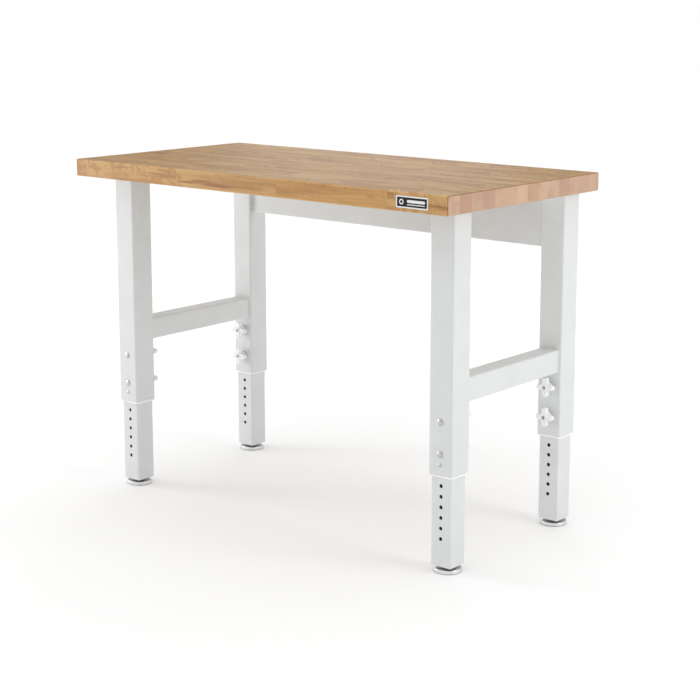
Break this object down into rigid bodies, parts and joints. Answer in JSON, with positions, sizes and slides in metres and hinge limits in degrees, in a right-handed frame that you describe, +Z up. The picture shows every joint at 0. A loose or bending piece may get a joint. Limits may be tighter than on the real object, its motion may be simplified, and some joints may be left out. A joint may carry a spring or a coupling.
{
  "type": "adjustable workbench",
  "caption": "Height-adjustable workbench: butcher-block top on a steel frame, with telescoping square legs held by through-bolts and hand knobs, and levelling feet.",
  "frame": {"origin": "on the floor under the centre of the worktop, at the bottom centre of the bounding box", "axes": "+Z up, +X along the long front edge to the right, +Y from the front edge to the back panel"},
  "size_m": [1.219, 0.61, 0.895],
  "materials": {
    "butcher_block": "satin oiled hard maple, glued staves",
    "frame_paint": "light grey hammered powder coat",
    "zinc_steel": "bright zinc plate",
    "foot_chrome": "polished nickel plate, turned rings",
    "white_plastic": "moulded, fine satin",
    "badge": "black field, white border"
  },
  "bodies": {
    "frame": {"worktop": "butcher_block", "badge_plate": "badge", "rear_apron": "frame_paint", "side_rail_left": "frame_paint", "side_rail_right": "frame_paint", "top_plate_left": "frame_paint", "top_plate_right": "frame_paint", "upper_leg_front_left": "frame_paint", "leg_guide_front_left": "white_plastic", "index_screw_front_left": "zinc_steel", "carriage_bolt_front_left_upper": "zinc_steel", "carriage_bolt_front_left_lower": "zinc_steel", "upper_leg_front_right": "frame_paint", "leg_guide_front_right": "white_plastic", "index_screw_front_right": "zinc_steel", "carriage_bolt_front_right_upper": "zinc_steel", "carriage_bolt_front_right_lower": "zinc_steel", "upper_leg_rear_left": "frame_paint", "leg_guide_rear_left": "white_plastic", "index_screw_rear_left": "zinc_steel", "carriage_bolt_rear_left_upper": "zinc_steel", "carriage_bolt_rear_left_lower": "zinc_steel", "upper_leg_rear_right": "frame_paint", "leg_guide_rear_right": "white_plastic", "index_screw_rear_right": "zinc_steel", "carriage_bolt_rear_right_upper": "zinc_steel", "carriage_bolt_rear_right_lower": "zinc_steel"},
    "leg_front_left": {"lower_leg_front_left": "frame_paint", "foot_insert_front_left": "zinc_steel"},
    "foot_front_left": {"foot_cup_front_left": "foot_chrome"},
    "stud_front_left": {"foot_stud_front_left": "zinc_steel"},
    "washer_front_left_upper": {"washer_front_left_upper": "zinc_steel"},
    "knob_front_left_upper": {"knob_front_left_upper": "white_plastic"},
    "washer_front_left_lower": {"washer_front_left_lower": "zinc_steel"},
    "knob_front_left_lower": {"knob_front_left_lower": "white_plastic"},
    "leg_front_right": {"lower_leg_front_right": "frame_paint", "foot_insert_front_right": "zinc_steel"},
    "foot_front_right": {"foot_cup_front_right": "foot_chrome"},
    "stud_front_right": {"foot_stud_front_right": "zinc_steel"},
    "washer_front_right_upper": {"washer_front_right_upper": "zinc_steel"},
    "knob_front_right_upper": {"knob_front_right_upper": "white_plastic"},
    "washer_front_right_lower": {"washer_front_right_lower": "zinc_steel"},
    "knob_front_right_lower": {"knob_front_right_lower": "white_plastic"},
    "leg_rear_left": {"lower_leg_rear_left": "frame_paint", "foot_insert_rear_left": "zinc_steel"},
    "foot_rear_left": {"foot_cup_rear_left": "foot_chrome"},
    "stud_rear_left": {"foot_stud_rear_left": "zinc_steel"},
    "washer_rear_left_upper": {"washer_rear_left_upper": "zinc_steel"},
    "knob_rear_left_upper": {"knob_rear_left_upper": "white_plastic"},
    "washer_rear_left_lower": {"washer_rear_left_lower": "zinc_steel"},
    "knob_rear_left_lower": {"knob_rear_left_lower": "white_plastic"},
    "leg_rear_right": {"lower_leg_rear_right": "frame_paint", "foot_insert_rear_right": "zinc_steel"},
    "foot_rear_right": {"foot_cup_rear_right": "foot_chrome"},
    "stud_rear_right": {"foot_stud_rear_right": "zinc_steel"},
    "washer_rear_right_upper": {"washer_rear_right_upper": "zinc_steel"},
    "knob_rear_right_upper": {"knob_rear_right_upper": "white_plastic"},
    "washer_rear_right_lower": {"washer_rear_right_lower": "zinc_steel"},
    "knob_rear_right_lower": {"knob_rear_right_lower": "white_plastic"}
  },
  "joints": [
    {"name": "leg_slide_front_left", "type": "slide", "parent": "frame", "child": "leg_front_left", "axis": [0, 0, -1], "range_m": [-0.1778, 0.127]},
    {"name": "foot_slide_front_left", "type": "slide", "parent": "leg_front_left", "child": "foot_front_left", "axis": [0, 0, -1], "range_m": [0, 0.018]},
    {"name": "foot_turn_front_left", "type": "hinge", "parent": "foot_front_left", "child": "stud_front_left", "pos_m": [-0.528, -0.1825, 0.03], "axis": [0, 0, -1], "range_deg": [0, 4321]},
    {"name": "knob_slide_front_left_upper", "type": "slide", "parent": "frame", "child": "washer_front_left_upper", "axis": [0, 1, 0], "range_m": [0, 0.0063]},
    {"name": "knob_turn_front_left_upper", "type": "hinge", "parent": "washer_front_left_upper", "child": "knob_front_left_upper", "pos_m": [-0.528, -0.1385, 0.3625], "axis": [0, 1, 0], "range_deg": [0, 1800]},
    {"name": "knob_slide_front_left_lower", "type": "slide", "parent": "frame", "child": "washer_front_left_lower", "axis": [0, 1, 0], "range_m": [0, 0.0063]},
    {"name": "knob_turn_front_left_lower", "type": "hinge", "parent": "washer_front_left_lower", "child": "knob_front_left_lower", "pos_m": [-0.528, -0.1385, 0.2863], "axis": [0, 1, 0], "range_deg": [0, 1800]},
    {"name": "leg_slide_front_right", "type": "slide", "parent": "frame", "child": "leg_front_right", "axis": [0, 0, -1], "range_m": [-0.1778, 0.127]},
    {"name": "foot_slide_front_right", "type": "slide", "parent": "leg_front_right", "child": "foot_front_right", "axis": [0, 0, -1], "range_m": [0, 0.018]},
    {"name": "foot_turn_front_right", "type": "hinge", "parent": "foot_front_right", "child": "stud_front_right", "pos_m": [0.528, -0.1825, 0.03], "axis": [0, 0, -1], "range_deg": [0, 4321]},
    {"name": "knob_slide_front_right_upper", "type": "slide", "parent": "frame", "child": "washer_front_right_upper", "axis": [0, 1, 0], "range_m": [0, 0.0063]},
    {"name": "knob_turn_front_right_upper", "type": "hinge", "parent": "washer_front_right_upper", "child": "knob_front_right_upper", "pos_m": [0.528, -0.1385, 0.3625], "axis": [0, 1, 0], "range_deg": [0, 1800]},
    {"name": "knob_slide_front_right_lower", "type": "slide", "parent": "frame", "child": "washer_front_right_lower", "axis": [0, 1, 0], "range_m": [0, 0.0063]},
    {"name": "knob_turn_front_right_lower", "type": "hinge", "parent": "washer_front_right_lower", "child": "knob_front_right_lower", "pos_m": [0.528, -0.1385, 0.2863], "axis": [0, 1, 0], "range_deg": [0, 1800]},
    {"name": "leg_slide_rear_left", "type": "slide", "parent": "frame", "child": "leg_rear_left", "axis": [0, 0, -1], "range_m": [-0.1778, 0.127]},
    {"name": "foot_slide_rear_left", "type": "slide", "parent": "leg_rear_left", "child": "foot_rear_left", "axis": [0, 0, -1], "range_m": [0, 0.018]},
    {"name": "foot_turn_rear_left", "type": "hinge", "parent": "foot_rear_left", "child": "stud_rear_left", "pos_m": [-0.528, 0.2635, 0.03], "axis": [0, 0, -1], "range_deg": [0, 4321]},
    {"name": "knob_slide_rear_left_upper", "type": "slide", "parent": "frame", "child": "washer_rear_left_upper", "axis": [0, -1, 0], "range_m": [0, 0.0063]},
    {"name": "knob_turn_rear_left_upper", "type": "hinge", "parent": "washer_rear_left_upper", "child": "knob_rear_left_upper", "pos_m": [-0.528, 0.2195, 0.3625], "axis": [0, -1, 0], "range_deg": [0, 1800]},
    {"name": "knob_slide_rear_left_lower", "type": "slide", "parent": "frame", "child": "washer_rear_left_lower", "axis": [0, -1, 0], "range_m": [0, 0.0063]},
    {"name": "knob_turn_rear_left_lower", "type": "hinge", "parent": "washer_rear_left_lower", "child": "knob_rear_left_lower", "pos_m": [-0.528, 0.2195, 0.2863], "axis": [0, -1, 0], "range_deg": [0, 1800]},
    {"name": "leg_slide_rear_right", "type": "slide", "parent": "frame", "child": "leg_rear_right", "axis": [0, 0, -1], "range_m": [-0.1778, 0.127]},
    {"name": "foot_slide_rear_right", "type": "slide", "parent": "leg_rear_right", "child": "foot_rear_right", "axis": [0, 0, -1], "range_m": [0, 0.018]},
    {"name": "foot_turn_rear_right", "type": "hinge", "parent": "foot_rear_right", "child": "stud_rear_right", "pos_m": [0.528, 0.2635, 0.03], "axis": [0, 0, -1], "range_deg": [0, 4321]},
    {"name": "knob_slide_rear_right_upper", "type": "slide", "parent": "frame", "child": "washer_rear_right_upper", "axis": [0, -1, 0], "range_m": [0, 0.0063]},
    {"name": "knob_turn_rear_right_upper", "type": "hinge", "parent": "washer_rear_right_upper", "child": "knob_rear_right_upper", "pos_m": [0.528, 0.2195, 0.3625], "axis": [0, -1, 0], "range_deg": [0, 1800]},
    {"name": "knob_slide_rear_right_lower", "type": "slide", "parent": "frame", "child": "washer_rear_right_lower", "axis": [0, -1, 0], "range_m": [0, 0.0063]},
    {"name": "knob_turn_rear_right_lower", "type": "hinge", "parent": "washer_rear_right_lower", "child": "knob_rear_right_lower", "pos_m": [0.528, 0.2195, 0.2863], "axis": [0, -1, 0], "range_deg": [0, 1800]}
  ],
  "couplings": [
    {"joint": "foot_turn_front_left", "follows": "foot_slide_front_left", "rad_per_m": 4188.8},
    {"joint": "knob_slide_front_left_upper", "follows": "knob_turn_front_left_upper", "m_per_rad": 0.00019894},
    {"joint": "knob_slide_front_left_lower", "follows": "knob_turn_front_left_lower", "m_per_rad": 0.00019894},
    {"joint": "foot_turn_front_right", "follows": "foot_slide_front_right", "rad_per_m": 4188.8},
    {"joint": "knob_slide_front_right_upper", "follows": "knob_turn_front_right_upper", "m_per_rad": 0.00019894},
    {"joint": "knob_slide_front_right_lower", "follows": "knob_turn_front_right_lower", "m_per_rad": 0.00019894},
    {"joint": "foot_turn_rear_left", "follows": "foot_slide_rear_left", "rad_per_m": 4188.8},
    {"joint": "knob_slide_rear_left_upper", "follows": "knob_turn_rear_left_upper", "m_per_rad": 0.00019894},
    {"joint": "knob_slide_rear_left_lower", "follows": "knob_turn_rear_left_lower", "m_per_rad": 0.00019894},
    {"joint": "foot_turn_rear_right", "follows": "foot_slide_rear_right", "rad_per_m": 4188.8},
    {"joint": "knob_slide_rear_right_upper", "follows": "knob_turn_rear_right_upper", "m_per_rad": 0.00019894},
    {"joint": "knob_slide_rear_right_lower", "follows": "knob_turn_rear_right_lower", "m_per_rad": 0.00019894}
  ]
}
